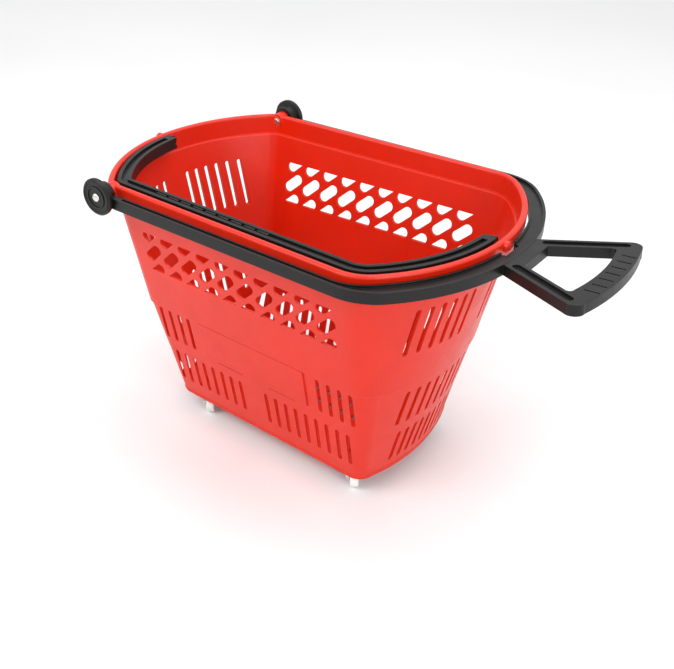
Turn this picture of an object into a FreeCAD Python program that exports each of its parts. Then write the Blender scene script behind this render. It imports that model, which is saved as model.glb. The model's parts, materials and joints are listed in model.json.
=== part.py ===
import FreeCAD, Part
import Sketcher
import math
import os

# Rolling basket trolley: a moulded supermarket basket on four small swivel casters, with a
# carry handle that folds onto the inner ledge of the rim and a long pull handle that is
# pivoted on two rivets near the hub end and lies round the outside of the rim.
#
# Frame: +Z up, floor at z = 0, the basket's mirror plane at y = 0. The hub end is at -X and
# the D-grip is at +X. Sketches use the basket's own x, and basket_x moves every sub-part so
# that the origin is under the middle of the whole trolley's box.

V = FreeCAD.Vector
UP = V(0, 0, 1)

doc = FreeCAD.newDocument("rolling_basket_trolley")
sheet = doc.addObject("Spreadsheet::Sheet", "dims")

DIMENSIONS = {
    # where the basket's own x = 0 lies in the trolley's frame
    "basket_x": -84.36,
    # wall outline where the walls end at the bottom (the foot of the skirt)
    "foot_z": 28,
    "foot_half": 111,
    "foot_slope": 0.05,
    "foot_hub_x": -185,
    "foot_grip_x": 207,
    "foot_end_radius": 300,
    "foot_hub_corner": 22,
    "foot_grip_corner": 24,
    # wall outline under the rim band
    "wall_z": 356,
    "wall_half": 174,
    "wall_slope": 0.032,
    "wall_hub_x": -263,
    "wall_grip_x": 289,
    "wall_end_radius": 238,
    "wall_hub_corner": 22,
    "wall_grip_corner": 48,
    # rim band, measured on its outer face at the top
    "rim_z": 391,
    "rim_half": 187,
    "rim_hub_x": -276,
    "rim_grip_x": 302,
    "rim_end_radius": 250,
    "rim_hub_corner": 34,
    "rim_grip_corner": 60,
    "rim_draft": 1.5,
    "rim_width": 9,
    "rim_round": 3.4,
    "ledge_z": 363,
    "ledge_inset": 10.5,
    "ledge_round": 2.5,
    # walls and floor
    "skin": 3.5,
    "step_z": 194,
    "step_depth": 2,
    "step_bevel": 1,
    "lip_proud": 0.6,
    "panel_hub_x": -88,
    "panel_grip_x": 103,
    "panel_foot_z": 133,
    "floor_z": 40,
    "floor_thick": 3.5,
    # openings in the long sides
    "lattice_mid_z": 294,
    "lattice_half": 31,
    "lattice_pitch": 33.5,
    "lattice_x": 5,
    "lattice_slot_width": 15.5,
    "lattice_slot_run": 21,
    "lattice_lean_deg": 42,
    "lattice_spacing": 47.5,
    "side_slot_width": 6.6,
    "side_slot_pitch": 18.3,
    "side_low_z": 56,
    "side_low_top_z": 113,
    "side_high_z": 133,
    "side_high_top_z": 191,
    "side_hub_x": -173,
    "side_grip_x": 169,
    "side_high_hub_x": -166,
    "side_high_grip_x": 181,
    "slit_z": 129,
    "slit_long": 49,
    "slit_tall": 2.6,
    # openings in the ends
    "end_slot_width": 7,
    "end_high_z": 255,
    "end_high_top_z": 328,
    "end_high_first_y": 25,
    "end_high_pitch": 17.6,
    "end_mid_z": 120,
    "end_mid_top_z": 183,
    "end_mid_pitch": 18.5,
    "end_low_z": 47,
    "end_low_top_z": 103,
    "end_low_pitch": 15.8,
    # pull handle and its two pivots
    "hub_x": -193,
    "hub_z": 381,
    "arm_half": 194,
    "arm_slope": 0.028,
    "arm_width": 10.5,
    "arm_z": 368,
    "arm_tall": 15,
    "plate_inner_x": 304.5,
    "plate_outer_x": 325.5,
    "plate_recess": 3,
    "plate_lip": 4,
    "notch_half": 19,
    "notch_depth": 7,
    "hub_inner_y": 188.7,
    "hub_neck_radius": 17,
    "hub_flange_radius": 25.5,
    "hub_flange_y": 200.5,
    "hub_outer_y": 208,
    "hub_boss_radius": 11.5,
    "hub_seat_y": 171,
    "rivet_head": 1.5,
    "washer_thick": 1,
    "rivet_radius": 3.5,
    "running_gap": 0.06,
    "groove_start_x": -158,
    "web_start_x": 178,
    "grip_start_x": 316,
    "grip_apex_x": 453,
    "grip_far_x": 440,
    "grip_far_half": 102,
    "grip_near_half": 42,
    "opening_near_x": 344,
    "opening_near_half": 32,
    "opening_far_x": 418,
    "opening_far_half": 69,
    "opening_apex_x": 426,
    "rib_pitch": 18,
    "rib_deep": 1.8,
    "bar_channel_width": 10.5,
    "bar_channel_deep": 3.5,
    "grip_rise_deg": 4,
    "grip_tall": 14,
    # carry handle
    "bail_z": 383,
    "bail_tall": 16,
    "bail_width": 18,
    "bail_gap": 4,
    "bail_pin_radius": 3,
    "bail_boss_radius": 7.5,
    "bail_boss_proud": 5,
    "bail_lip": 5,
    # casters
    "caster_hub_x": -124,
    "caster_hub_y": 81,
    "caster_grip_x": 156,
    "caster_grip_y": 92,
    "caster_turn_deg": -55,
    "caster_trail": 7,
    "wheel_radius": 15,
    "wheel_width": 13,
    "axle_radius": 2.5,
    "kingpin_radius": 3,
    "plate_long": 34,
    "plate_wide": 32,
    "screw_dx": 12,
    "screw_dy": 11,
    "screw_boss_radius": 4.5,
    "screw_boss_tall": 6,
    "fork_gap": 0.8,
    "fork_sheet": 1.6,
}

for row, (alias, value) in enumerate(DIMENSIONS.items(), start=1):
    sheet.set("A%d" % row, alias)
    sheet.set("B%d" % row, str(value))
    sheet.setAlias("B%d" % row, alias)
doc.recompute()


def dim(alias):
    """The number held in one cell of the sheet."""
    return float(sheet.get(alias))


BASKET_X = dim("basket_x")


# ---------------------------------------------------------------- sketch helpers


def new_body(label):
    body = doc.addObject("PartDesign::Body", label)
    body.Label = label
    return body


def origin_plane(body, role):
    for feature in body.Origin.OriginFeatures:
        if feature.Role == role:
            return feature
    raise ValueError(role)


def new_sketch(body, name, role="XY_Plane", offset=None):
    """An empty sketch on one of the body's origin planes, moved by a placement."""
    sketch = body.newObject("Sketcher::SketchObject", name)
    sketch.AttachmentSupport = [(origin_plane(body, role), "")]
    sketch.MapMode = "FlatFace"
    if offset is not None:
        sketch.AttachmentOffset = offset
    return sketch


def level_sketch(body, name, height_expression):
    """A sketch on a level plane whose height follows an expression."""
    sketch = new_sketch(body, name)
    sketch.setExpression("AttachmentOffset.Base.z", height_expression)
    return sketch


def add_circle(sketch, x, y, radius):
    sketch.addGeometry(Part.Circle(V(x, y, 0), UP, radius), False)


def add_polygon(sketch, points):
    corners = [V(x, y, 0) for x, y in points]
    for start, end in zip(corners, corners[1:] + corners[:1]):
        sketch.addGeometry(Part.LineSegment(start, end), False)


def add_box(sketch, x0, y0, x1, y1):
    add_polygon(sketch, [(x0, y0), (x1, y0), (x1, y1), (x0, y1)])


def add_arc(sketch, start, middle, end):
    sketch.addGeometry(Part.Arc(V(*start, 0), V(*middle, 0), V(*end, 0)), False)


def add_slot(sketch, x0, y0, x1, y1, width):
    """A round-ended slot between the centres of its two ends."""
    along = V(x1 - x0, y1 - y0, 0).normalize()
    side = V(-along.y, along.x, 0) * (width / 2)
    start = V(x0, y0, 0)
    end = V(x1, y1, 0)
    tip = along * (width / 2)
    sketch.addGeometry(Part.LineSegment(start - side, end - side), False)
    sketch.addGeometry(Part.Arc(end - side, end + tip, end + side), False)
    sketch.addGeometry(Part.LineSegment(end + side, start + side), False)
    sketch.addGeometry(Part.Arc(start + side, start - tip, start - side), False)


def pad(body, name, sketch, length, midplane=False, reverse=False):
    feature = body.newObject("PartDesign::Pad", name)
    feature.Profile = sketch
    feature.setExpression("Length", length)
    feature.Midplane = midplane
    feature.Reversed = reverse
    body.Tip = feature
    return feature


def pocket(body, name, sketch, length=None, reverse=False):
    """A pocket of one depth, or through everything on both sides of its sketch."""
    doc.recompute()
    before = body.Shape.Volume
    feature = body.newObject("PartDesign::Pocket", name)
    feature.Profile = sketch
    if length is None:
        feature.Type = "ThroughAll"
        feature.Midplane = True
    else:
        feature.setExpression("Length", length)
        feature.Reversed = reverse
    body.Tip = feature
    doc.recompute()
    if body.Shape.Volume > before - 0.5:
        raise RuntimeError("%s cuts nothing" % name)
    return feature


def loft(body, name, sketches, subtract=False):
    """Ruled walls from each sketch to the next, as one added or removed solid."""
    kind = "PartDesign::SubtractiveLoft" if subtract else "PartDesign::AdditiveLoft"
    feature = body.newObject(kind, name)
    feature.Profile = sketches[0]
    feature.Sections = sketches[1:]
    feature.Ruled = True
    body.Tip = feature
    doc.recompute()
    return feature


def revolve(body, name, sketch, axis="V_Axis"):
    feature = body.newObject("PartDesign::Revolution", name)
    feature.Profile = sketch
    feature.ReferenceAxis = (sketch, [axis])
    feature.Angle = 360
    body.Tip = feature
    return feature


def mirror(body, name, feature, role):
    """The same feature again on the other side of an origin plane."""
    copy = body.newObject("PartDesign::Mirrored", name)
    copy.Originals = [feature]
    copy.MirrorPlane = (origin_plane(body, role), [""])
    body.Tip = copy
    doc.recompute()
    return copy


# ---------------------------------------------------------------- basket outline


class Outline:
    """A plan outline: two straight sides that open slightly, two bowed ends, four corners."""

    KEYS = ("half", "slope", "hub_x", "grip_x", "end_radius", "hub_corner", "grip_corner")

    def __init__(self, values):
        self.values = dict(values)

    @classmethod
    def from_sheet(cls, prefix, slope_alias):
        values = {key: dim("%s_%s" % (prefix, key)) for key in cls.KEYS if key != "slope"}
        values["slope"] = dim(slope_alias)
        return cls(values)

    def between(self, other, share):
        """The outline part of the way up from this one to the other."""
        mixed = {
            key: self.values[key] + share * (other.values[key] - self.values[key])
            for key in self.KEYS
        }
        return Outline(mixed)

    def inset(self, distance):
        values = dict(self.values)
        values["half"] -= distance
        values["hub_x"] += distance
        values["grip_x"] -= distance
        for key in ("end_radius", "hub_corner", "grip_corner"):
            values[key] = max(values[key] - distance, 2.0)
        return Outline(values)

    def side_y(self, x):
        return self.values["half"] + self.values["slope"] * x

    def end_sag(self, y):
        radius = self.values["end_radius"]
        return radius - math.sqrt(radius**2 - y**2)

    def corner(self, end):
        """Where the +Y corner's arc meets the side and the end, with its middle point."""
        grip = end == "grip"
        radius = self.values["grip_corner" if grip else "hub_corner"]
        big = self.values["end_radius"]
        sign = 1.0 if grip else -1.0
        middle_x = self.values["%s_x" % end] - sign * big
        slope = self.values["slope"]
        stretch = math.sqrt(1 + slope**2)
        height = self.values["half"] - radius * stretch
        reach = big - radius
        a = 1 + slope**2
        b = slope * height - middle_x
        c = middle_x**2 + height**2 - reach**2
        centre_x = (-b + sign * math.sqrt(b**2 - a * c)) / a
        centre_y = height + slope * centre_x
        on_side = (centre_x - radius * slope / stretch, centre_y + radius / stretch)
        towards = ((centre_x - middle_x) / reach, centre_y / reach)
        on_end = (middle_x + big * towards[0], big * towards[1])
        half_way = (
            (on_side[0] + on_end[0]) / 2 - centre_x,
            (on_side[1] + on_end[1]) / 2 - centre_y,
        )
        size = math.hypot(*half_way)
        middle = (centre_x + radius * half_way[0] / size, centre_y + radius * half_way[1] / size)
        return on_side, middle, on_end

    def draw(self, sketch):
        hub_side, hub_mid, hub_end = self.corner("hub")
        grip_side, grip_mid, grip_end = self.corner("grip")

        def flip(point):
            return (point[0], -point[1])

        add_arc(sketch, hub_end, (self.values["hub_x"], 0), flip(hub_end))
        add_arc(sketch, flip(hub_end), flip(hub_mid), flip(hub_side))
        add_polyline(sketch, [flip(hub_side), flip(grip_side)])
        add_arc(sketch, flip(grip_side), flip(grip_mid), flip(grip_end))
        add_arc(sketch, flip(grip_end), (self.values["grip_x"], 0), grip_end)
        add_arc(sketch, grip_end, grip_mid, grip_side)
        add_polyline(sketch, [grip_side, hub_side])
        add_arc(sketch, hub_side, hub_mid, hub_end)

    def draw_grip_end(self, sketch, start_x):
        """The open path from one side at start_x round the grip end to the other side."""
        side, mid, end = self.corner("grip")
        near = [(start_x, -self.side_y(start_x)), (side[0], -side[1])]
        add_polyline(sketch, near)
        add_arc(sketch, near[1], (mid[0], -mid[1]), (end[0], -end[1]))
        add_arc(sketch, (end[0], -end[1]), (self.values["grip_x"], 0), end)
        add_arc(sketch, end, mid, side)
        add_polyline(sketch, [side, (start_x, self.side_y(start_x))])


def add_polyline(sketch, points):
    for start, end in zip(points, points[1:]):
        sketch.addGeometry(Part.LineSegment(V(*start, 0), V(*end, 0)), False)


FOOT = Outline.from_sheet("foot", "foot_slope")
WALL = Outline.from_sheet("wall", "wall_slope")
RIM = Outline.from_sheet("rim", "wall_slope")


def wall_at(z):
    """The wall's outer outline at a height, before the recess of the lower part."""
    return FOOT.between(WALL, (z - dim("foot_z")) / (dim("wall_z") - dim("foot_z")))


def outline_sketch(body, name, outline, height_expression):
    sketch = level_sketch(body, name, height_expression)
    outline.draw(sketch)
    return sketch


# ---------------------------------------------------------------- basket


def side_lattice(sketch):
    """Ten columns of leaning slots, cut level along the top and bottom of the strip."""
    width = dim("lattice_slot_width")
    run = dim("lattice_slot_run")
    lean = math.radians(dim("lattice_lean_deg"))
    mid_z = dim("lattice_mid_z")
    half = dim("lattice_half")
    lean_x = math.cos(lean)
    lean_z = math.sin(lean)
    spacing = dim("lattice_spacing")
    for column in range(10):
        x = dim("lattice_x") + (column - 4.5) * dim("lattice_pitch")
        reach_x = run / 2 * lean_x
        reach_z = run / 2 * lean_z
        add_slot(sketch, x - reach_x, mid_z - reach_z, x + reach_x, mid_z + reach_z, width)
        for sign in (1, -1):
            near = spacing - run / 2
            tip_x = x + sign * (near * lean_x - dim("lattice_pitch"))
            tip_z = mid_z + sign * near * lean_z
            cut_z = mid_z + sign * half
            cut_lattice_end(sketch, tip_x, tip_z, cut_z, sign, lean, width / 2)


def cut_lattice_end(sketch, x, z, cut_z, sign, lean, radius):
    """The round end of a leaning slot, closed by a level line at cut_z."""
    along = (sign * math.cos(lean), sign * math.sin(lean))
    across = (-along[1] * radius, along[0] * radius)
    sides = []
    for turn in (1, -1):
        start = (x + turn * across[0], z + turn * across[1])
        share = (cut_z - start[1]) / along[1]
        sides.append((start, (start[0] + share * along[0], cut_z)))
    (start_a, end_a), (start_b, end_b) = sides
    tip = (x - along[0] * radius, z - along[1] * radius)
    add_polyline(sketch, [start_a, end_a, end_b, start_b])
    add_arc(sketch, start_b, tip, start_a)


def upright_slots(sketch, positions, low, high, width):
    for position in positions:
        add_slot(sketch, position, low + width / 2, position, high - width / 2, width)


def faceted_slots(sketch, positions, low, high, width, facets=6):
    """Upright slots whose round ends are short straight sides, which cut ruled walls cleanly."""
    radius = width / 2
    for position in positions:
        points = []
        for middle, start in ((high - radius, 0), (low + radius, math.pi)):
            for step in range(facets + 1):
                turn = start + math.pi * step / facets
                x = position + radius * math.cos(turn)
                points.append((x, middle + radius * math.sin(turn)))
        add_polygon(sketch, points)


def low_side_slots(sketch):
    """The lower row of upright slots, in two groups."""
    pitch = dim("side_slot_pitch")
    places = [dim("side_hub_x") + i * pitch for i in range(9)]
    places += [dim("side_grip_x") - i * pitch for i in range(9)]
    low = dim("side_low_z")
    faceted_slots(sketch, places, low, dim("side_low_top_z"), dim("side_slot_width"))


def high_side_slots(sketch):
    """Four upright slots on each side of the proud panel."""
    pitch = dim("side_slot_pitch")
    places = [dim("side_high_hub_x") + i * pitch for i in range(4)]
    places += [dim("side_high_grip_x") - i * pitch for i in range(4)]
    low = dim("side_high_z")
    faceted_slots(sketch, places, low, dim("side_high_top_z"), dim("side_slot_width"))


def panel_slits(sketch):
    """Two narrow slits under the proud panel."""
    middle = (dim("panel_hub_x") + dim("panel_grip_x")) / 2
    half = dim("slit_long") / 2
    z = dim("slit_z")
    for sign in (1, -1):
        centre = middle + sign * dim("slit_long")
        add_box(sketch, centre - half, z, centre + half, z + dim("slit_tall"))


def end_slots(sketch):
    """Three rows of upright slots; the top row leaves a plain middle."""
    width = dim("end_slot_width")
    rows = (
        ([dim("end_high_first_y") + i * dim("end_high_pitch") for i in range(6)], "high"),
        ([(i + 0.5) * dim("end_mid_pitch") for i in range(5)], "mid"),
        ([(i + 0.5) * dim("end_low_pitch") for i in range(5)], "low"),
    )
    for offsets, row in rows:
        positions = offsets + [-y for y in offsets]
        low = dim("end_%s_z" % row)
        high = dim("end_%s_top_z" % row)
        upright_slots(sketch, positions, low, high, width)


def caster_places():
    """Name, x, y of each caster's swivel axis, in the basket's own x."""
    return (
        ("front_left", dim("caster_hub_x"), -dim("caster_hub_y")),
        ("front_right", dim("caster_hub_x"), dim("caster_hub_y")),
        ("rear_left", dim("caster_grip_x"), -dim("caster_grip_y")),
        ("rear_right", dim("caster_grip_x"), dim("caster_grip_y")),
    )


def screw_places():
    places = []
    for _, x, y in caster_places():
        for sx in (1, -1):
            for sy in (1, -1):
                places.append((x + sx * dim("screw_dx"), y + sy * dim("screw_dy")))
    return places


def quarter_round(radius, steps):
    """Points of a quarter circle as (distance in, distance down), from its side to its top."""
    points = []
    for step in range(steps + 1):
        angle = math.pi / 2 * step / steps
        points.append((radius * (1 - math.cos(angle)), radius * (1 - math.sin(angle))))
    return points


def stacked_outlines(body, name, alias, levels):
    """One sketch for each (outline, height above the cell's height), from the lowest up."""
    sketches = []
    for number, (outline, rise) in enumerate(levels):
        expression = "dims.%s + %.4f" % (alias, rise)
        sketches.append(outline_sketch(body, "%s_%d" % (name, number), outline, expression))
    return sketches


def make_basket():
    body = new_body("basket_body")
    depth = dim("step_depth")
    skin = dim("skin")

    # lower walls, set back by the step, with a small lip above the foot
    lip = dim("lip_proud")
    rise = dim("step_z") - dim("foot_z")
    foot_levels = [(FOOT.inset(depth + 2 * lip), 0), (FOOT.inset(depth + 2 * lip), 3.4)]
    foot_levels += [(FOOT.inset(depth - lip), 4.2), (FOOT.inset(depth - lip), 6)]
    foot_levels += [(FOOT.inset(depth), 7), (wall_at(dim("step_z")).inset(depth), rise)]
    loft(body, "lower_walls", stacked_outlines(body, "foot", "foot_z", foot_levels))

    # upper walls, with a small bevel where they overhang the lower ones
    bevel = dim("step_bevel")
    step = wall_at(dim("step_z"))
    wall_levels = [(step.inset(bevel), 0), (wall_at(dim("step_z") + bevel), bevel)]
    wall_levels.append((WALL, dim("wall_z") - dim("step_z")))
    loft(body, "upper_walls", stacked_outlines(body, "wall", "step_z", wall_levels))

    # proud panel in the middle of each long side
    panel_sketches = []
    for name, alias in (("panel_foot", "panel_foot_z"), ("panel_head", "step_z")):
        sketch = level_sketch(body, name, "dims.%s" % alias)
        outline = wall_at(dim(alias))
        x0 = dim("panel_hub_x")
        x1 = dim("panel_grip_x")
        y0 = outline.side_y(x0)
        y1 = outline.side_y(x1)
        add_polygon(sketch, [(x0, -y0), (x1, -y1), (x1, y1), (x0, y0)])
        panel_sketches.append(sketch)
    loft(body, "proud_panels", panel_sketches)

    # rim band, rounded at its foot and along its bead
    draft = dim("rim_draft")
    round_points = quarter_round(dim("rim_round"), 4)
    band_tall = dim("rim_z") - dim("wall_z")
    band_levels = [(RIM.inset(draft + x), z) for x, z in reversed(round_points)]
    band_levels += [(RIM.inset(x), band_tall - z) for x, z in round_points]
    loft(body, "rim_band", stacked_outlines(body, "band", "wall_z", band_levels))

    # the room inside: tub up to a soft ledge, then the wider rim
    floor_top = dim("floor_z") + dim("floor_thick")
    ledge = dim("ledge_z") - floor_top
    tub_levels = [(wall_at(floor_top).inset(depth + skin), 0)]
    soft_edge = quarter_round(dim("ledge_round"), 3)
    tub_top = wall_at(dim("ledge_z"))
    tub_levels += [(tub_top.inset(skin - x), ledge - z) for x, z in soft_edge]
    tub = stacked_outlines(body, "tub", "floor_z + dims.floor_thick", tub_levels)
    loft(body, "tub_room", tub, subtract=True)
    mouth_levels = [(RIM.inset(dim("ledge_inset")), 0)]
    mouth_tall = dim("rim_z") - dim("ledge_z")
    bead = quarter_round(dim("rim_round"), 4)
    mouth_levels += [(RIM.inset(dim("rim_width") - x), mouth_tall - z) for x, z in bead]
    mouth = stacked_outlines(body, "mouth", "ledge_z", mouth_levels)
    loft(body, "rim_room", mouth, subtract=True)

    # the room under the floor, inside the skirt
    skirt_levels = [(FOOT.inset(depth + skin), 0)]
    skirt_top = wall_at(dim("floor_z")).inset(depth + skin)
    skirt_levels.append((skirt_top, dim("floor_z") - dim("foot_z")))
    skirt = stacked_outlines(body, "skirt", "foot_z", skirt_levels)
    loft(body, "skirt_room", skirt, subtract=True)

    add_basket_bosses(body)
    cut_basket(body)
    return body


def add_basket_bosses(body):
    # pull handle pivots: a round boss through each long side of the band
    boss = new_sketch(body, "hub_boss", "XZ_Plane")
    boss.setExpression("AttachmentOffset.Base.x", "dims.hub_x")
    boss.setExpression("AttachmentOffset.Base.y", "dims.hub_z")
    boss.setExpression("AttachmentOffset.Base.z", "dims.hub_inner_y - 0.5")
    add_circle(boss, 0, 0, dim("hub_boss_radius"))
    outer = pad(body, "hub_boss_pad", boss, "dims.hub_inner_y - 0.5 - dims.hub_seat_y", reverse=True)
    mirror(body, "hub_boss_far", outer, "XZ_Plane")

    # carry handle pivots: a round boss at the middle of each end of the band
    for name, sign, edge in (("hub", -1, "rim_hub_x"), ("grip", 1, "rim_grip_x")):
        sketch = new_sketch(body, "bail_boss_%s" % name, "YZ_Plane")
        sketch.setExpression("AttachmentOffset.Base.y", "dims.bail_z")
        outside = "dims.%s + %d * dims.bail_boss_proud" % (edge, sign)
        sketch.setExpression("AttachmentOffset.Base.z", outside)
        add_circle(sketch, 0, 0, dim("bail_boss_radius"))
        pad(body, "bail_boss_%s_pad" % name, sketch, "2 * dims.bail_boss_proud", reverse=sign > 0)

    # screw bosses that stand on the floor
    screws = level_sketch(body, "screw_bosses", "dims.floor_z + dims.floor_thick - 0.5")
    for x, y in screw_places():
        add_circle(screws, x, y, dim("screw_boss_radius"))
    pad(body, "screw_boss_pad", screws, "dims.screw_boss_tall + 0.5")


def cut_basket(body):
    rows = (
        ("lattice", "XZ_Plane", side_lattice), ("low_slots", "XZ_Plane", low_side_slots),
        ("high_slots", "XZ_Plane", high_side_slots), ("slits", "XZ_Plane", panel_slits),
        ("end_slots", "YZ_Plane", end_slots),
    )
    for name, plane, draw in rows:
        sketch = new_sketch(body, name, plane)
        draw(sketch)
        pocket(body, name + "_cut", sketch)

    # drain slots in the floor
    drains = level_sketch(body, "drains", "dims.floor_z + dims.floor_thick + 1")
    for column in range(-4, 5):
        x = column * 22 + 12
        add_slot(drains, x, -26, x, 26, 7)
    pocket(body, "drain_cut", drains, "dims.floor_thick + 4")

    # pilot holes for the caster screws, open at the underside
    pilots = level_sketch(body, "pilots", "dims.floor_z - 1")
    for x, y in screw_places():
        add_circle(pilots, x, y, 1.6)
    pocket(body, "pilot_cut", pilots, "8.5", reverse=True)

    # rivet holes of the pull handle and pin holes of the carry handle
    rivets = new_sketch(body, "rivet_holes", "XZ_Plane")
    add_circle(rivets, dim("hub_x"), dim("hub_z"), dim("rivet_radius"))
    pocket(body, "rivet_hole_cut", rivets)
    pins = new_sketch(body, "pin_holes", "YZ_Plane")
    add_circle(pins, 0, dim("bail_z"), dim("bail_pin_radius"))
    pocket(body, "pin_hole_cut", pins)


# ---------------------------------------------------------------- pull handle


def handle_outline(inset, apex):
    """The pull handle's outline: parallel to the rim, with its own place at the grip end."""
    values = dict(RIM.values)
    values["half"] = inset
    values["slope"] = dim("arm_slope")
    grow = apex - dim("rim_grip_x")
    values["grip_x"] = apex
    values["end_radius"] += grow
    values["grip_corner"] += grow * 0.7
    return Outline(values)


def make_pull_handle():
    body = new_body("pull_handle")
    arm = dim("arm_half")
    width = dim("arm_width")
    hub_x = dim("hub_x")
    outer = handle_outline(arm + width, dim("plate_outer_x"))
    inner = handle_outline(arm, dim("plate_inner_x"))

    # two arms and the crescent round the grip end, in one piece
    frame = level_sketch(body, "frame_outline", "dims.arm_z")
    outer.draw_grip_end(frame, hub_x)
    inner.draw_grip_end(frame, hub_x)
    for sign in (1, -1):
        ends = [(hub_x, sign * inner.side_y(hub_x)), (hub_x, sign * outer.side_y(hub_x))]
        add_polyline(frame, ends)
    pad(body, "frame_pad", frame, "dims.arm_tall")
    doc.recompute()

    # D-grip: two spreading bars and a bowed crossbar, rising slightly from the crescent
    tilt = FreeCAD.Rotation(V(0, 1, 0), -dim("grip_rise_deg"))
    start = V(dim("grip_start_x"), 0, dim("arm_z"))
    grip = new_sketch(body, "grip_outline", "XY_Plane", FreeCAD.Placement(start, tilt))
    draw_grip(grip)
    pad(body, "grip_pad", grip, "dims.grip_tall")
    doc.recompute()

    # pivot hubs: a narrow neck and a wide flange, turned about the rivet
    hub = new_sketch(body, "hub_profile", "XY_Plane")
    hub.setExpression("AttachmentOffset.Base.x", "dims.hub_x")
    hub.setExpression("AttachmentOffset.Base.z", "dims.hub_z")
    bore = dim("rivet_radius") + dim("running_gap")
    neck = dim("hub_neck_radius")
    flange = dim("hub_flange_radius")
    y_in = -dim("hub_inner_y")
    y_flange = -dim("hub_flange_y")
    y_out = -dim("hub_outer_y")
    profile = [
        (bore, y_in), (neck, y_in), (neck + 1.5, y_flange + 2), (flange - 1, y_flange),
        (flange, y_flange - 1.5), (flange, y_out + 2), (flange - 2, y_out),
        (11, y_out + 1.2), (bore, y_out + 1.2),
    ]
    add_polygon(hub, profile)
    turned = revolve(body, "hub_turned", hub)
    doc.recompute()
    mirror(body, "hub_turned_far", turned, "XZ_Plane")

    # clear bore through the arm ends
    bores = new_sketch(body, "bores", "XZ_Plane")
    add_circle(bores, hub_x, dim("hub_z"), bore)
    pocket(body, "bore_cut", bores)
    cut_pull_handle(body)
    return body


def grip_points():
    """Corner points of the D-grip's outer and inner outlines, from the grip's start."""
    start = dim("grip_start_x")
    outer = [(4, dim("grip_near_half")), (dim("grip_far_x") - start, dim("grip_far_half"))]
    inner = [
        (dim("opening_near_x") - start, dim("opening_near_half")),
        (dim("opening_far_x") - start, dim("opening_far_half")),
    ]
    return outer, inner


def draw_grip(sketch):
    outer, inner = grip_points()
    start = dim("grip_start_x")
    draw_grip_loop(sketch, outer, dim("grip_apex_x") - start, 18)
    draw_grip_loop(sketch, inner, dim("opening_apex_x") - start, 8)


def draw_grip_loop(sketch, corners, apex, rounding):
    """A trapezium with rounded far corners and a bowed far side."""
    (near_x, near_y), (far_x, far_y) = corners
    along = V(far_x - near_x, far_y - near_y, 0).normalize()
    cut = rounding * 1.1
    before = (far_x - along.x * cut, far_y - along.y * cut)
    after = (far_x + (apex - far_x) * cut / far_y, far_y - cut)
    middle = (
        (before[0] + after[0] + 1.6 * far_x) / 3.6,
        (before[1] + after[1] + 1.6 * far_y) / 3.6,
    )
    add_polyline(sketch, [(near_x, -near_y), (near_x, near_y), before])
    add_arc(sketch, before, middle, after)
    add_arc(sketch, after, (apex, 0), (after[0], -after[1]))
    add_arc(sketch, (after[0], -after[1]), (middle[0], -middle[1]), (before[0], -before[1]))
    add_polyline(sketch, [(before[0], -before[1]), (near_x, -near_y)])


def cut_pull_handle(body):
    lip = dim("plate_lip")
    inner_lip = lip * 0.6
    outer_x = dim("plate_outer_x")

    # a groove along the arms that widens over the crescent, and a deep room below the crescent
    cuts = (
        ("groove", "groove_start_x", "dims.arm_z + dims.arm_tall", "dims.plate_recess", False),
        ("web", "web_start_x", "dims.arm_z", "dims.arm_tall - dims.plate_recess - 4", True),
    )
    for name, start_alias, height, depth, reverse in cuts:
        start_x = dim(start_alias)
        sketch = level_sketch(body, name + "_outline", height)
        near = handle_outline(dim("arm_half") + inner_lip, dim("plate_inner_x") + inner_lip)
        far = handle_outline(dim("arm_half") + dim("arm_width") - lip, outer_x - lip)
        near.draw_grip_end(sketch, start_x)
        far.draw_grip_end(sketch, start_x)
        for sign in (1, -1):
            ends = [(start_x, sign * near.side_y(start_x)), (start_x, sign * far.side_y(start_x))]
            add_polyline(sketch, ends)
        pocket(body, name + "_cut", sketch, depth, reverse)

    # channel along the top of each bar of the D-grip
    channels = grip_top_sketch(body, "bar_channels")
    start = dim("grip_start_x")
    near_x = dim("opening_near_x") - start - 6
    far_x = dim("opening_far_x") - start + 5
    spread = dim("grip_far_half") - dim("grip_near_half")
    lean = spread / (dim("grip_far_x") - start - 4)
    middle = (dim("grip_near_half") + dim("opening_near_half")) / 2 + 3
    for sign in (1, -1):
        near_y = sign * middle
        far_y = sign * (middle + lean * (far_x - near_x))
        add_slot(channels, near_x, near_y, far_x, far_y, dim("bar_channel_width"))
    pocket(body, "bar_channel_cut", channels, "dims.bar_channel_deep")

    # notch that lets the crescent pass round the band's end boss
    notch = level_sketch(body, "notch", "dims.arm_z - 1")
    half = dim("notch_half")
    deep = dim("plate_inner_x") + dim("notch_depth")
    add_polygon(notch, [(295, -half - 4), (deep, -half + 3), (deep, half - 3), (295, half + 4)])
    pocket(body, "notch_cut", notch, "dims.arm_tall + 2", reverse=True)

    # ribs of the crossbar, as grooves across its top
    ribs = grip_top_sketch(body, "rib_grooves")
    length = dim("grip_apex_x") - start
    for index in range(-3, 4):
        y = index * dim("rib_pitch")
        bow = length * (1 - math.cos(y / length / 2.4))
        add_box(ribs, length - 23 - bow, y - 1.3, length - 4.5 - bow, y + 1.3)
    pocket(body, "rib_groove_cut", ribs, "dims.rib_deep")


def grip_top_sketch(body, name):
    """A sketch on the sloping top face of the D-grip."""
    tilt = FreeCAD.Rotation(V(0, 1, 0), -dim("grip_rise_deg"))
    rise = tilt.multVec(V(0, 0, dim("grip_tall")))
    place = FreeCAD.Placement(V(dim("grip_start_x"), 0, dim("arm_z")) + rise, tilt)
    return new_sketch(body, name, "XY_Plane", place)


# ---------------------------------------------------------------- carry handle


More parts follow.
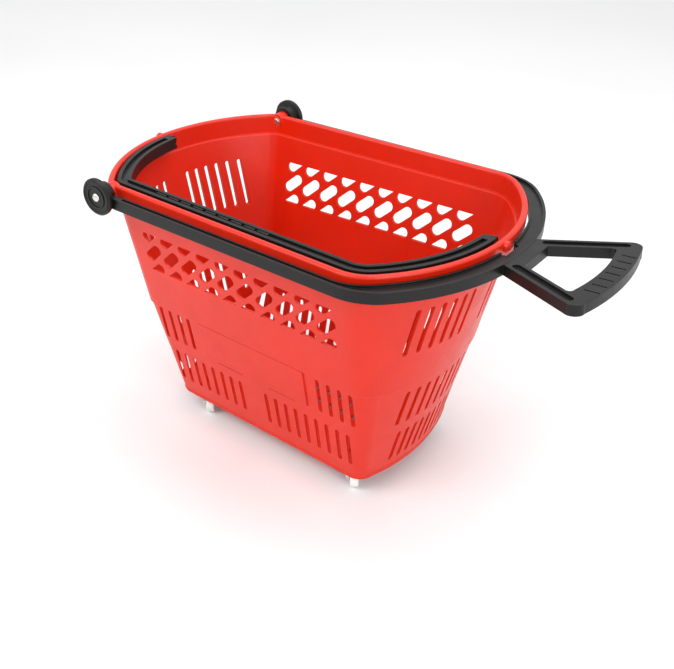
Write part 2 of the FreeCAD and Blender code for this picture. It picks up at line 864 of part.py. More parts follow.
def make_carry_handle():
    """A bail that lies on the ledge along the near side, pivoted at both ends."""
    body = new_body("carry_handle")
    gap = dim("rim_width") + dim("bail_gap")
    outer = RIM.inset(gap)
    inner = RIM.inset(gap + dim("bail_width"))
    sketch = level_sketch(body, "bail_outline", "dims.bail_z - dims.bail_tall / 2")
    draw_bail(sketch, outer, inner)
    pad(body, "bail_pad", sketch, "dims.bail_tall")
    doc.recompute()

    # round eyes on the pivot axis
    eyes = new_sketch(body, "eyes", "YZ_Plane")
    eyes.setExpression("AttachmentOffset.Base.y", "dims.bail_z")
    eyes.setExpression("AttachmentOffset.Base.z", "dims.rim_hub_x + dims.rim_width + dims.bail_gap + 2")
    add_circle(eyes, 0, 0, 8.5)
    eye = pad(body, "eye_hub", eyes, "7")
    far = new_sketch(body, "eyes_grip", "YZ_Plane")
    far.setExpression("AttachmentOffset.Base.y", "dims.bail_z")
    far.setExpression("AttachmentOffset.Base.z", "dims.rim_grip_x - dims.rim_width - dims.bail_gap - 2")
    add_circle(far, 0, 0, 8.5)
    pad(body, "eye_grip", far, "7", reverse=True)
    doc.recompute()

    # channel along the top, and the pin bores
    channel = level_sketch(body, "channel", "dims.bail_z + dims.bail_tall / 2")
    lip = dim("bail_lip")
    draw_bail(channel, RIM.inset(gap + lip), RIM.inset(gap + dim("bail_width") - lip), -12)
    pocket(body, "channel_cut", channel, "4")
    bores = new_sketch(body, "pin_bores", "YZ_Plane")
    add_circle(bores, 0, dim("bail_z"), dim("bail_pin_radius") + dim("running_gap"))
    pocket(body, "pin_bore_cut", bores)
    return body


def draw_bail(sketch, outer, inner, stop_y=0):
    """A closed band round the near side, from one end's middle to the other's."""
    chains = []
    for outline in (outer, inner):
        chain = []
        for end in ("hub", "grip"):
            side, mid, on_end = outline.corner(end)
            sign = 1 if end == "grip" else -1
            apex = outline.values["%s_x" % end]
            stop = (apex - sign * outline.end_sag(stop_y), stop_y)
            half_y = (stop_y - on_end[1]) / 2
            bow = (apex - sign * outline.end_sag(half_y), half_y)
            near = [(p[0], -p[1]) for p in (side, mid, on_end)]
            chain.append((stop, bow, near))
        chains.append(chain)
        (stop_hub, bow_hub, near_hub), (stop_grip, bow_grip, near_grip) = chain
        add_arc(sketch, stop_hub, bow_hub, near_hub[2])
        add_arc(sketch, near_hub[2], near_hub[1], near_hub[0])
        add_polyline(sketch, [near_hub[0], near_grip[0]])
        add_arc(sketch, near_grip[0], near_grip[1], near_grip[2])
        add_arc(sketch, near_grip[2], bow_grip, stop_grip)
    for end in (0, 1):
        add_polyline(sketch, [chains[0][end][0], chains[1][end][0]])


# ---------------------------------------------------------------- pivots


def make_turned(label, profile, role, offset):
    """A body turned about the vertical axis of a sketch on an origin plane."""
    body = new_body(label)
    sketch = new_sketch(body, "profile", role, offset)
    add_polygon(sketch, profile)
    revolve(body, "turned", sketch)
    return body


def hub_rivet_profile():
    """Rivet along Y: domed head outside the hub, flat head inside the washer."""
    shank = dim("rivet_radius")
    out = dim("hub_outer_y") - 0.9
    seat = dim("hub_seat_y") - dim("washer_thick")
    inside = seat - dim("rivet_head")
    return [
        (0, inside), (5, inside), (5, seat), (shank, seat), (shank, out),
        (6, out), (5.6, out + 1.2), (4.2, out + 2.4), (2.2, out + 3), (0, out + 3.2),
    ]


def make_hub_pivots():
    bodies = []
    for name, turn in (("right", 0), ("left", 180)):
        place = FreeCAD.Placement(V(dim("hub_x"), 0, dim("hub_z")), FreeCAD.Rotation())
        spin = FreeCAD.Rotation(V(1, 0, 0), turn)
        place = place.multiply(FreeCAD.Placement(V(), spin))
        bodies.append(make_turned("hub_rivet_" + name, hub_rivet_profile(), "XY_Plane", place))
        end = dim("hub_seat_y")
        start = end - dim("washer_thick")
        shank = dim("rivet_radius")
        washer = [(shank, start), (7.5, start), (7.5, end), (shank, end)]
        bodies.append(make_turned("hub_washer_" + name, washer, "XY_Plane", place))
    return bodies


def make_bail_pins():
    """Pins along X: a head outside the band boss and a shank through the handle's eye."""
    bodies = []
    pin = dim("bail_pin_radius")
    for name, edge, sign in (("front", "rim_hub_x", -1), ("rear", "rim_grip_x", 1)):
        head = abs(dim(edge)) + dim("bail_boss_proud")
        tail = abs(dim(edge)) - dim("rim_width") - dim("bail_gap") - 9
        profile = [
            (0, tail), (pin, tail), (pin, head), (5.5, head), (5.2, head + 1), (3.5, head + 1.6),
            (0, head + 1.8),
        ]
        turn = FreeCAD.Rotation(UP, -90 * sign)
        place = FreeCAD.Placement(V(0, 0, dim("bail_z")), turn)
        bodies.append(make_turned("carry_pin_" + name, profile, "XY_Plane", place))
    return bodies


# ---------------------------------------------------------------- casters


def caster_placement(x, y):
    turn = FreeCAD.Rotation(UP, dim("caster_turn_deg"))
    return FreeCAD.Placement(V(x, y, 0), turn)


def make_mounting_plate(label):
    body = new_body(label)
    sketch = level_sketch(body, "plate", "dims.floor_z - 2")
    add_box(
        sketch, -dim("plate_long") / 2, -dim("plate_wide") / 2,
        dim("plate_long") / 2, dim("plate_wide") / 2,
    )
    for sx in (1, -1):
        for sy in (1, -1):
            add_circle(sketch, sx * dim("screw_dx"), sy * dim("screw_dy"), 1.9)
    add_circle(sketch, 0, 0, dim("kingpin_radius"))
    pad(body, "plate_pad", sketch, "2")
    ring = level_sketch(body, "race", "dims.floor_z - 2")
    add_circle(ring, 0, 0, 10.5)
    add_circle(ring, 0, 0, dim("kingpin_radius"))
    pad(body, "race_pad", ring, "2.5", reverse=True)
    return body


def make_kingpin(label):
    pin = dim("kingpin_radius")
    top = dim("floor_z")
    profile = [(0, top), (pin, top), (pin, top - 7), (5, top - 7), (4.4, top - 8.2), (0, top - 8.2)]
    return make_turned(label, profile, "XZ_Plane", FreeCAD.Placement())


def make_fork(label):
    body = new_body(label)
    half = dim("wheel_width") / 2 + dim("fork_gap")
    trail = dim("caster_trail")
    top = dim("floor_z") - 4.8

    # side view: a cheek that narrows down to the axle, extruded across the whole fork
    cheek = new_sketch(body, "cheek", "XZ_Plane")
    axle_z = dim("wheel_radius")
    add_polygon(cheek, [
        (-10.5, top), (-10.5, top - 4), (trail - 5, axle_z - 4.5), (trail + 5, axle_z - 4.5),
        (trail + 6.5, top - 8), (trail + 6.5, top),
    ])
    width = "dims.wheel_width + 2 * dims.fork_gap + 2 * dims.fork_sheet"
    pad(body, "cheek_pad", cheek, width, midplane=True)
    doc.recompute()

    # the slot for the wheel, then the kingpin and axle holes
    slot = new_sketch(body, "wheel_slot", "YZ_Plane")
    add_box(slot, -half, -1, half, top - 2)
    pocket(body, "wheel_slot_cut", slot)
    pin = level_sketch(body, "kingpin_hole", "dims.floor_z")
    add_circle(pin, 0, 0, dim("kingpin_radius") + dim("running_gap"))
    pocket(body, "kingpin_cut", pin, "20")
    axle = new_sketch(body, "axle_hole", "XZ_Plane")
    add_circle(axle, trail, axle_z, dim("axle_radius"))
    pocket(body, "axle_cut", axle)
    return body


def make_axle(label):
    """Axle along Y with a head outside each cheek of the fork."""
    pin = dim("axle_radius")
    cheek = dim("wheel_width") / 2 + dim("fork_gap") + dim("fork_sheet")
    head = cheek + 1.3
    profile = [
        (0, -head), (4, -head), (4, -cheek), (pin, -cheek), (pin, cheek), (4, cheek), (4, head),
        (0, head),
    ]
    place = FreeCAD.Placement(V(dim("caster_trail"), 0, dim("wheel_radius")), FreeCAD.Rotation())
    return make_turned(label, profile, "XY_Plane", place)


def make_wheel(label):
    """Wheel about Y: rounded tread, dished faces and a proud hub."""
    radius = dim("wheel_radius")
    half = dim("wheel_width") / 2
    bore = dim("axle_radius") + dim("running_gap")
    side = [
        (bore, half), (5.5, half), (5.5, half - 2.2), (11, half - 2.2), (12, half - 0.6),
        (13.4, half - 0.6), (radius - 0.5, half - 1.8), (radius, half - 3.4),
    ]
    profile = side + [(r, -y) for r, y in reversed(side)]
    place = FreeCAD.Placement(V(dim("caster_trail"), 0, radius), FreeCAD.Rotation())
    return make_turned(label, profile, "XY_Plane", place)


def make_casters():
    bodies = []
    for name, x, y in caster_places():
        fixed = FreeCAD.Placement(V(x, y, 0), FreeCAD.Rotation())
        plate = make_mounting_plate(name + "_mounting_plate")
        kingpin = make_kingpin(name + "_kingpin")
        for body in (plate, kingpin):
            body.Placement = fixed
            bodies.append(body)
        for maker, part in ((make_fork, "fork"), (make_axle, "axle"), (make_wheel, "wheel")):
            body = maker("%s_%s" % (name, part))
            body.Placement = caster_placement(x, y)
            bodies.append(body)
    return bodies


def make_group(label, source):
    """Several loose solids under one label, because a body may hold only one."""
    group = doc.addObject("Part::Feature", label)
    group.Label = label
    group.Shape = source
    return group


# ---------------------------------------------------------------- build and write


def screw_group():
    """Screws that don't touch each other, as one group of separate solids."""
    solids = []
    foot = dim("floor_z") - 2
    for x, y in screw_places():
        head = Part.makeCylinder(3.4, 1.8, V(x, y, foot - 1.8))
        dome = head.makeFillet(0.9, [edge for edge in head.Edges if edge.BoundBox.ZMax < foot - 1])
        shank = Part.makeCylinder(1.6, 9, V(x, y, foot - 0.5))
        solids.append(dome.fuse(shank).removeSplitter().Solids[0])
    return Part.makeCompound(solids)


nodes = [make_basket(), make_pull_handle(), make_carry_handle()]
nodes += make_hub_pivots()
nodes += make_bail_pins()
nodes += make_casters()
nodes.append(make_group("caster_screws", screw_group()))

doc.recompute()
for node in nodes:
    node.Placement = FreeCAD.Placement(V(BASKET_X, 0, 0), FreeCAD.Rotation()).multiply(node.Placement)
doc.recompute()

for item in doc.Objects:
    if "Invalid" in item.State or "Error" in item.State:
        raise RuntimeError("%s failed: %s" % (item.Label, item.State))
for node in nodes:
    if node.Shape.isNull() or not node.Shape.isValid():
        raise RuntimeError("%s has no valid shape" % node.Label)

os.makedirs("parts", exist_ok=True)
whole = FreeCAD.BoundBox()
for node in nodes:
    node.Shape.exportStep("parts/%s.step" % node.Label)
    whole.add(node.Shape.BoundBox)
    print(node.Label, len(node.Shape.Solids), "solid(s)", round(node.Shape.Volume / 1000, 2), "cm3")
print("box", [round(v, 2) for v in (whole.XMin, whole.XMax, whole.YMin, whole.YMax, whole.ZMin, whole.ZMax)])
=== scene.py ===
import json
import math

import bmesh
import bpy
from mathutils import Matrix, Vector


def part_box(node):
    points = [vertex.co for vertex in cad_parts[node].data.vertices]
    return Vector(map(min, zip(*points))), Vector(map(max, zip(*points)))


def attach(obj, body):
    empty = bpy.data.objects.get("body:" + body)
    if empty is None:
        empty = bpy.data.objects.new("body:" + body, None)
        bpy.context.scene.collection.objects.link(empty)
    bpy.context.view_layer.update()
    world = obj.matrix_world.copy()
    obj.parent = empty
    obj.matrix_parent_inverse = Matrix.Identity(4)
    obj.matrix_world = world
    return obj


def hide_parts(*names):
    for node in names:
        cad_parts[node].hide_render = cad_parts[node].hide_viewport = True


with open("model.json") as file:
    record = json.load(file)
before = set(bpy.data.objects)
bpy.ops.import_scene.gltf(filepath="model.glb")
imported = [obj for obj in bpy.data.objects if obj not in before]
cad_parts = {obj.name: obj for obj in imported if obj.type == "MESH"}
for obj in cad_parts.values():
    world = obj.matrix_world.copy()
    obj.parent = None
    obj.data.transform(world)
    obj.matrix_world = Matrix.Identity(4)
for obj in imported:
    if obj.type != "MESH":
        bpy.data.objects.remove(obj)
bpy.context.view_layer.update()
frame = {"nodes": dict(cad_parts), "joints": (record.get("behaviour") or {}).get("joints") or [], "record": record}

# Rolling basket trolley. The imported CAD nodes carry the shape. This script gives each node a
# procedural material, adds small moulded and metal details that ride on the CAD bodies, and
# sets up a plain studio.

MM = 0.001

NODES = frame["nodes"]
JOINTS = {joint["name"]: joint for joint in frame["joints"]}
HUB_X, _, HUB_Z = JOINTS["pull_handle_hinge"]["pos_m"]


# ---------------------------------------------------------------- material nodes


class Graph:
    """A short way to add and link shader nodes in one material."""

    def __init__(self, name):
        self.material = bpy.data.materials.new(name)
        self.material.use_nodes = True
        self.tree = self.material.node_tree
        self.shader = self.tree.nodes["Principled BSDF"]
        self.coordinates = self.add("ShaderNodeTexCoord").outputs["Object"]

    def add(self, kind, **settings):
        node = self.tree.nodes.new(kind)
        for key, value in settings.items():
            setattr(node, key, value)
        return node

    def feed(self, socket, value):
        if isinstance(value, bpy.types.NodeSocket):
            self.tree.links.new(value, socket)
        else:
            socket.default_value = value

    def stretched(self, scale):
        mapping = self.add("ShaderNodeMapping")
        self.feed(mapping.inputs["Vector"], self.coordinates)
        mapping.inputs["Scale"].default_value = scale
        return mapping.outputs["Vector"]

    def noise(self, scale, detail=3.0, roughness=0.55, distortion=0.0, vector=None):
        node = self.add("ShaderNodeTexNoise")
        self.feed(node.inputs["Vector"], vector or self.coordinates)
        self.feed(node.inputs["Scale"], scale)
        self.feed(node.inputs["Detail"], detail)
        self.feed(node.inputs["Roughness"], roughness)
        self.feed(node.inputs["Distortion"], distortion)
        return node.outputs["Fac"]

    def cells(self, scale):
        node = self.add("ShaderNodeTexVoronoi", feature="F1")
        self.feed(node.inputs["Vector"], self.coordinates)
        self.feed(node.inputs["Scale"], scale)
        return node

    def span(self, value, low, high, to_low=0.0, to_high=1.0):
        node = self.add("ShaderNodeMapRange")
        for key, number in (
            ("Value", value), ("From Min", low), ("From Max", high),
            ("To Min", to_low), ("To Max", to_high),
        ):
            self.feed(node.inputs[key], number)
        return node.outputs["Result"]

    def math(self, operation, first, second=0.0):
        node = self.add("ShaderNodeMath", operation=operation)
        self.feed(node.inputs[0], first)
        self.feed(node.inputs[1], second)
        return node.outputs["Value"]

    def mix(self, share, first, second):
        node = self.add("ShaderNodeMix", data_type="RGBA", blend_type="MIX")
        self.feed(node.inputs["Factor"], share)
        self.feed(node.inputs["A"], first)
        self.feed(node.inputs["B"], second)
        return node.outputs["Result"]

    def edge_mask(self, radius):
        """Near 1 along hard edges, from the turn between the rounded and the true normal."""
        rounded = self.add("ShaderNodeBevel", samples=6)
        rounded.inputs["Radius"].default_value = radius
        true = self.add("ShaderNodeNewGeometry")
        dot = self.add("ShaderNodeVectorMath", operation="DOT_PRODUCT")
        self.feed(dot.inputs[0], rounded.outputs["Normal"])
        self.feed(dot.inputs[1], true.outputs["Normal"])
        return self.span(dot.outputs["Value"], 0.99, 0.72), rounded.outputs["Normal"]

    def bump(self, height, strength, distance, normal=None):
        node = self.add("ShaderNodeBump")
        self.feed(node.inputs["Strength"], strength)
        self.feed(node.inputs["Distance"], distance)
        self.feed(node.inputs["Height"], height)
        if normal is not None:
            self.feed(node.inputs["Normal"], normal)
        return node.outputs["Normal"]

    def finish(self, color, roughness, normal, metallic=0.0, **constants):
        self.feed(self.shader.inputs["Base Color"], color)
        self.feed(self.shader.inputs["Roughness"], roughness)
        self.feed(self.shader.inputs["Normal"], normal)
        self.shader.inputs["Metallic"].default_value = metallic
        for key, value in constants.items():
            self.shader.inputs[key.replace("_", " ")].default_value = value
        return self.material


def shade(color, factor):
    return (color[0] * factor, color[1] * factor, color[2] * factor, 1.0)


def moulded_plastic(name, color, worn, gloss, grain, edge=0.8, **constants):
    """Injection-moulded plastic: flow mottling, fine grain, scuffs and paler worn edges."""
    graph = Graph(name)
    flow = graph.noise(9.0, 4.0, 0.6, 0.6)
    cloud = graph.noise(42.0, 3.0, 0.55)
    body = graph.mix(graph.span(flow, 0.3, 0.7), shade(color, 0.93), shade(color, 1.05))
    body = graph.mix(graph.span(cloud, 0.35, 0.75, 0.0, 0.35), body, shade(color, 0.86))

    # thin scratches: stretched noise that only shows in narrow bands
    scratch = graph.noise(1.0, 5.0, 0.7, 0.4, graph.stretched((26.0, 420.0, 300.0)))
    scratch = graph.span(scratch, 0.69, 0.76)
    scuff = graph.span(graph.noise(17.0, 4.0, 0.6), 0.52, 0.72)
    worn_area = graph.math("MULTIPLY", scratch, scuff)
    body = graph.mix(graph.math("MULTIPLY", worn_area, 0.35), body, (*worn, 1.0))

    mask, rounded = graph.edge_mask(edge * MM)
    chipped = graph.span(graph.noise(160.0, 3.0, 0.6), 0.35, 0.75)
    worn_edge = graph.math("MULTIPLY", mask, chipped)
    body = graph.mix(graph.math("MULTIPLY", worn_edge, 0.55), body, (*worn, 1.0))

    roughness = graph.span(cloud, 0.25, 0.75, gloss - 0.05, gloss + 0.07)
    roughness = graph.math("ADD", roughness, graph.math("MULTIPLY", worn_area, 0.2))
    fine = graph.noise(2600.0, 2.0, 0.5)
    ripple = graph.noise(70.0, 2.0, 0.4)
    normal = graph.bump(ripple, 0.05, 0.4 * MM, rounded)
    normal = graph.bump(fine, grain, 0.05 * MM, normal)
    return graph.finish(body, roughness, normal, **constants)


def plated_metal(name, color, dark, gloss, spangle):
    """Bright metal with crystal mottling, fine grain, dull spots and polished edges."""
    graph = Graph(name)
    cells = graph.cells(spangle)
    tone = graph.span(cells.outputs["Color"], 0.1, 0.9, 0.0, 0.5)
    body = graph.mix(tone, (*color, 1.0), shade(color, 0.82))
    dull = graph.span(graph.noise(190.0, 4.0, 0.65), 0.55, 0.75)
    body = graph.mix(graph.math("MULTIPLY", dull, 0.45), body, (*dark, 1.0))
    mask, rounded = graph.edge_mask(0.4 * MM)
    body = graph.mix(graph.math("MULTIPLY", mask, 0.5), body, shade(color, 1.12))
    roughness = graph.math(
        "ADD", graph.span(cells.outputs["Distance"], 0.0, 1.0, gloss, gloss + 0.1),
        graph.math("MULTIPLY", dull, 0.18),
    )
    lines = graph.noise(1.0, 3.0, 0.6, 0.0, graph.stretched((500.0, 500.0, 500.0)))
    normal = graph.bump(lines, 0.12, 0.05 * MM, rounded)
    return graph.finish(body, roughness, normal, metallic=1.0)


SMOOTH_DEGREES = 28.0
RED = (0.66, 0.0150, 0.0004)
BLACK = (0.0068, 0.0064, 0.0062)
WHITE = (0.80, 0.80, 0.77)

MATERIALS = {
    "basket_plastic": moulded_plastic(
        "red_polypropylene", RED, (0.86, 0.16, 0.10), 0.33, 0.10, 0.9,
        Subsurface_Weight=0.06, Subsurface_Scale=0.004, Specular_IOR_Level=0.4,
    ),
    "handle_plastic": moulded_plastic(
        "black_polypropylene", BLACK, (0.13, 0.13, 0.13), 0.36, 0.22, 0.9, Specular_IOR_Level=0.28,
    ),
    "pin_plastic": moulded_plastic(
        "red_pin_plastic", shade(RED, 0.9)[:3], (0.8, 0.2, 0.14), 0.3, 0.1, 0.4,
    ),
    "wheel_nylon": moulded_plastic("white_nylon", WHITE, (0.45, 0.43, 0.40), 0.42, 0.2, 0.5),
    "rivet_steel": plated_metal(
        "nickel_rivet", (0.76, 0.74, 0.70), (0.42, 0.38, 0.32), 0.24, 900.0,
    ),
    "zinc_steel": plated_metal(
        "zinc_plate", (0.66, 0.68, 0.70), (0.36, 0.36, 0.35), 0.30, 420.0,
    ),
}
for subpart in frame["record"]["subparts"]:
    node = NODES[subpart["node"]]
    for slot in node.material_slots:
        slot.material = MATERIALS[subpart["material_slot"]]
    node.data.shade_smooth()
    node.data.set_sharp_from_angle(angle=math.radians(SMOOTH_DEGREES))


# the same black plastic, paler and shinier, for the raised pads in the grip channel
GRIP_PLASTIC = moulded_plastic(
    "pale_grip_pad_plastic", shade(BLACK, 4.0)[:3], (0.2, 0.2, 0.2), 0.28, 0.35, 0.5,
)


# ---------------------------------------------------------------- mesh helpers


def new_piece(name, mesh, material, body, smooth_angle=35.0):
    """Link a bmesh as an object, give it its material, and let it ride on a body."""
    data = bpy.data.meshes.new(name)
    bmesh.ops.recalc_face_normals(mesh, faces=mesh.faces)
    mesh.to_mesh(data)
    mesh.free()
    piece = bpy.data.objects.new(name, data)
    bpy.context.scene.collection.objects.link(piece)
    data.materials.append(material)
    data.shade_smooth()
    data.set_sharp_from_angle(angle=math.radians(smooth_angle))
    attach(piece, body)
    return piece


def add_turned(mesh, profile, origin, axis, sides=48):
    """A closed solid of revolution from (radius, distance along the axis) points."""
    axis = Vector(axis).normalized()
    turn = axis.to_track_quat("Z", "Y").to_matrix().to_4x4()
    place = Matrix.Translation(origin) @ turn
    rings = []
    for radius, along in profile:
        if radius < 1e-7:
            rings.append([mesh.verts.new(place @ Vector((0, 0, along)))])
            continue
        ring = []
        for index in range(sides):
            angle = 2 * math.pi * index / sides
            point = Vector((radius * math.cos(angle), radius * math.sin(angle), along))
            ring.append(mesh.verts.new(place @ point))
        rings.append(ring)
    closed = profile[0][0] > 1e-7
    pairs = list(zip(rings, rings[1:] + rings[:1] if closed else rings[1:]))
    for first, second in pairs:
        for index in range(sides):
            after = (index + 1) % sides
            if len(first) == 1:
                mesh.faces.new((first[0], second[index], second[after]))
            elif len(second) == 1:
                mesh.faces.new((first[index], first[after], second[0]))
            else:
                mesh.faces.new((first[index], first[after], second[after], second[index]))


def add_block(mesh, centre, along, across, up, size, bevel):
    """A block with rounded edges, in its own directions."""
    frame_matrix = Matrix((along, across, up)).transposed().to_4x4()
    place = Matrix.Translation(centre) @ frame_matrix @ Matrix.Diagonal((*size, 1.0))
    made = bmesh.ops.create_cube(mesh, size=1.0, matrix=place)
    edges = {edge for vert in made["verts"] for edge in vert.link_edges}
    bmesh.ops.bevel(
        mesh, geom=list(edges), offset=bevel, segments=3, profile=0.6, affect="EDGES",
    )


# ---------------------------------------------------------------- pivots of the pull handle

HUB_FACE_RINGS = (21.5, 14.5)
RIVET_HEAD = 6.0


def add_hub_rings(mesh, face_y, sign):
    """Two low round ridges on the outer face of a pivot disc."""
    width = 0.8 * MM
    for radius in HUB_FACE_RINGS:
        r = radius * MM
        add_turned(
            mesh,
            [(r - width, -2.4 * MM), (r - width, 0.1 * MM), (r - width * 0.5, 0.5 * MM),
             (r + width * 0.5, 0.5 * MM), (r + width, 0.1 * MM), (r + width, -2.4 * MM)],
            Vector((HUB_X, sign * face_y, HUB_Z)), (0, sign, 0), 96,
        )


def dome(radius, tall, steps):
    """Half of a flattened dome's outline, from its foot to its top."""
    points = []
    for step in range(steps + 1):
        angle = math.pi / 2 * step / steps
        points.append((radius * math.cos(angle), tall * math.sin(angle)))
    return points[:-1] + [(0.0, tall)]


def add_pivot_rivet(mesh, sign, low_y, high_y):
    """A pivot rivet: domed head outside, shank, and a peened end inside the rim."""
    shank = 3.5 * MM
    head_y = high_y - 3.2 * MM
    peen_y = low_y + 1.5 * MM
    profile = [(0.0, low_y), (3.6 * MM, low_y), (4.7 * MM, low_y + 0.5 * MM), (5.0 * MM, peen_y)]
    profile += [(shank, peen_y), (shank, head_y)]
    profile += [(r, head_y + rise) for r, rise in dome(RIVET_HEAD * MM, 3.2 * MM, 10)]
    add_turned(mesh, profile, Vector((HUB_X, 0, HUB_Z)), (0, sign, 0), 64)


for side, sign in (("left", -1), ("right", 1)):
    low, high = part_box("hub_rivet_" + side)
    low_y = min(abs(low.y), abs(high.y))
    high_y = max(abs(low.y), abs(high.y))
    rings = bmesh.new()
    add_hub_rings(rings, high_y - 2.3 * MM, sign)
    new_piece(
        "hub_rings_" + side, rings, MATERIALS["handle_plastic"], "pull_handle",
    )
    rivet = bmesh.new()
    add_pivot_rivet(rivet, sign, low_y, high_y)
    piece = new_piece(
        "pivot_rivet_" + side, rivet, MATERIALS["rivet_steel"], "basket",
    )
    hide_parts("hub_rivet_" + side)


# ---------------------------------------------------------------- marks on the carry handle

GRIP_PAD_COUNT = 9
GRIP_PAD_PITCH = 22.0 * MM
GRIP_PAD_SIZE = (17.0 * MM, 5.4 * MM, 2.6 * MM)
GRIP_PAD_FIRST_X = -0.205
GRIP_PAD_BELOW_TOP = 3.2 * MM
CHANNEL_FROM_EDGE = 16.6 * MM
HANDLE_SLOPE = 0.032


def add_grip_pads():
    """Plain raised pads in the channel of the carry handle's long run, where a hand holds it."""
    low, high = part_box("carry_handle")
    pads = bmesh.new()
    across_middle = low.y + CHANNEL_FROM_EDGE
    along = Vector((1.0, -HANDLE_SLOPE, 0.0)).normalized()
    across = Vector((HANDLE_SLOPE, 1.0, 0.0)).normalized()
    for index in range(GRIP_PAD_COUNT):
        x = GRIP_PAD_FIRST_X + index * GRIP_PAD_PITCH
        y = across_middle - HANDLE_SLOPE * x
        centre = Vector((x, y, high.z - GRIP_PAD_BELOW_TOP))
        add_block(pads, centre, along, across, Vector((0, 0, 1)), GRIP_PAD_SIZE, 0.7 * MM)
    new_piece("carry_grip_pads", pads, GRIP_PLASTIC, "carry_handle")


add_grip_pads()


# ---------------------------------------------------------------- casters

CASTERS = ("front_left", "front_right", "rear_left", "rear_right")
# distances from the wheel's centre, along its axle
AXLE_END = 9.9 * MM
WHEEL_FACE = 4.3 * MM


def caster_axis(name):
    spin = JOINTS[name + "_spin"]
    return Vector(spin["pos_m"]), Vector(spin["axis"]).normalized()


for name in CASTERS:
    centre, axis = caster_axis(name)

    # hexagon nut and a domed head on the two ends of the axle
    nut = bmesh.new()
    add_turned(
        nut,
        [(0, 0), (3.4 * MM, 0), (3.9 * MM, 0.4 * MM), (3.9 * MM, 2.0 * MM), (3.3 * MM, 2.4 * MM),
         (1.7 * MM, 2.4 * MM), (1.7 * MM, 3.0 * MM), (0, 3.1 * MM)],
        centre + axis * AXLE_END, axis, 6,
    )
    new_piece(
        name + "_axle_nut", nut, MATERIALS["zinc_steel"], name + "_caster", 20.0,
    )
    head = bmesh.new()
    add_turned(
        head,
        [(0, 0), (4.1 * MM, 0), (4.2 * MM, 0.5 * MM), (3.6 * MM, 1.5 * MM), (2.2 * MM, 2.2 * MM),
         (0, 2.5 * MM)],
        centre - axis * AXLE_END, -axis, 32,
    )
    new_piece(name + "_axle_head", head, MATERIALS["zinc_steel"], name + "_caster")

    # hub caps with a raised ring on both faces of the wheel
    for side_name, sign in (("a", 1), ("b", -1)):
        cap = bmesh.new()
        add_turned(
            cap,
            [(6.4 * MM, -0.4 * MM), (6.4 * MM, 0.8 * MM), (7.0 * MM, 1.3 * MM),
             (8.2 * MM, 1.3 * MM), (8.8 * MM, 0.8 * MM), (8.8 * MM, -0.4 * MM)],
            centre + axis * (sign * WHEEL_FACE), axis * sign, 40,
        )
        new_piece(
            "%s_wheel_ring_%s" % (name, side_name), cap, MATERIALS["wheel_nylon"],
            name + "_wheel",
        )


# ---------------------------------------------------------------- studio

LENGTH_UNIT = 1000.0
CAMERA_AZIMUTH = 34.995
CAMERA_ELEVATION = 31.747
CAMERA_ROLL = 1.604
CAMERA_DISTANCE = 1452.49 / LENGTH_UNIT
CAMERA_TARGET = Vector((-34.24, 6.887, 157.468)) / LENGTH_UNIT
IMAGE_WIDTH = 674
FOCAL_PIXELS = 991.532
SENSOR_WIDTH = 36.0
FLOOR_HALF = 9.0
FLOOR_DROP = 0.2 * MM
WORLD_STRENGTH = 0.9
LOOKED_AT = (0.0, 0.0, 0.2)
SOFTBOXES = (
    ("key_light", (-0.9, -1.9, 2.0), (1.6, 1.2), 29.0),
    ("side_light", (2.1, -0.9, 1.3), (1.2, 1.4), 20.0),
    ("top_light", (0.1, 0.6, 2.4), (2.0, 1.6), 22.0),
)


def look_at(location, target):
    return (target - location).to_track_quat("-Z", "Y")


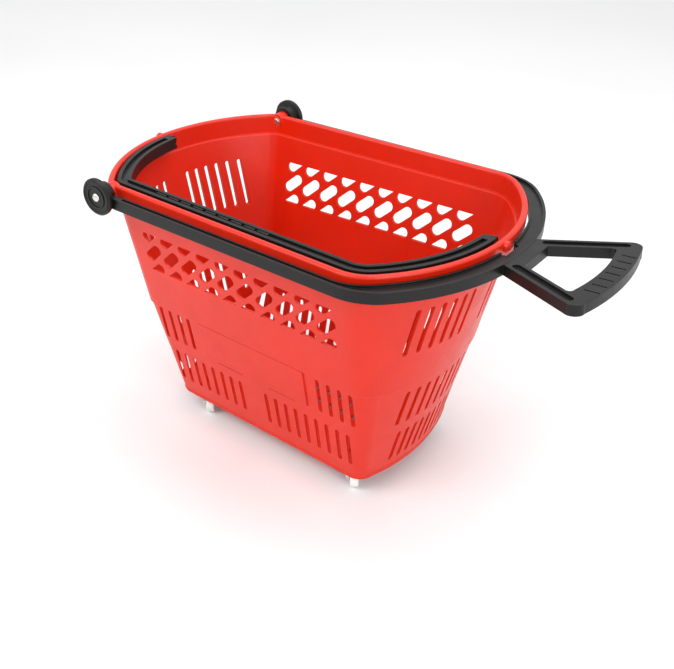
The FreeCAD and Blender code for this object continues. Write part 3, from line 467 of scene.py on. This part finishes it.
def add_camera():
    azimuth = math.radians(CAMERA_AZIMUTH)
    elevation = math.radians(CAMERA_ELEVATION)
    roll = math.radians(CAMERA_ROLL)
    back = Vector((
        math.sin(azimuth) * math.cos(elevation),
        -math.cos(azimuth) * math.cos(elevation),
        math.sin(elevation),
    ))
    right = Vector((0, 0, 1)).cross(back).normalized()
    up = back.cross(right)
    image_right = right * math.cos(roll) + up * math.sin(roll)
    image_up = up * math.cos(roll) - right * math.sin(roll)
    data = bpy.data.cameras.new("camera")
    data.sensor_width = SENSOR_WIDTH
    data.sensor_fit = "HORIZONTAL"
    data.lens = FOCAL_PIXELS / IMAGE_WIDTH * data.sensor_width
    data.clip_start = 0.01
    camera = bpy.data.objects.new("camera", data)
    turn = Matrix((image_right, image_up, back)).transposed().to_4x4()
    camera.matrix_world = Matrix.Translation(CAMERA_TARGET + back * CAMERA_DISTANCE) @ turn
    bpy.context.scene.collection.objects.link(camera)
    bpy.context.scene.camera = camera


def add_softbox(name, location, target, size, power):
    data = bpy.data.lights.new(name, "AREA")
    data.shape = "RECTANGLE"
    data.size, data.size_y = size
    data.energy = power
    light = bpy.data.objects.new(name, data)
    light.location = location
    light.rotation_mode = "QUATERNION"
    light.rotation_quaternion = look_at(Vector(location), Vector(target))
    bpy.context.scene.collection.objects.link(light)


def floor_material():
    graph = Graph("pale_floor")
    tone = graph.span(graph.noise(1.2, 3.0, 0.5), 0.3, 0.7)
    color = graph.mix(tone, (0.83, 0.83, 0.835, 1.0), (0.86, 0.86, 0.86, 1.0))
    normal = graph.bump(graph.noise(500.0, 2.0, 0.5), 0.03, 0.1 * MM)
    return graph.finish(color, graph.span(tone, 0.0, 1.0, 0.6, 0.7), normal)


def add_floor():
    mesh = bmesh.new()
    bmesh.ops.create_grid(mesh, x_segments=8, y_segments=8, size=FLOOR_HALF)
    data = bpy.data.meshes.new("floor")
    mesh.to_mesh(data)
    mesh.free()
    floor = bpy.data.objects.new("floor", data)
    floor.location.z = -FLOOR_DROP
    data.materials.append(floor_material())
    bpy.context.scene.collection.objects.link(floor)


def set_world():
    world = bpy.data.worlds.new("studio")
    world.use_nodes = True
    background = world.node_tree.nodes["Background"]
    background.inputs["Color"].default_value = (1.0, 1.0, 1.0, 1.0)
    background.inputs["Strength"].default_value = WORLD_STRENGTH
    bpy.context.scene.world = world


add_camera()
add_floor()
set_world()
for name, location, size, power in SOFTBOXES:
    add_softbox(name, location, LOOKED_AT, size, power)
bpy.context.scene.view_settings.view_transform = "Standard"
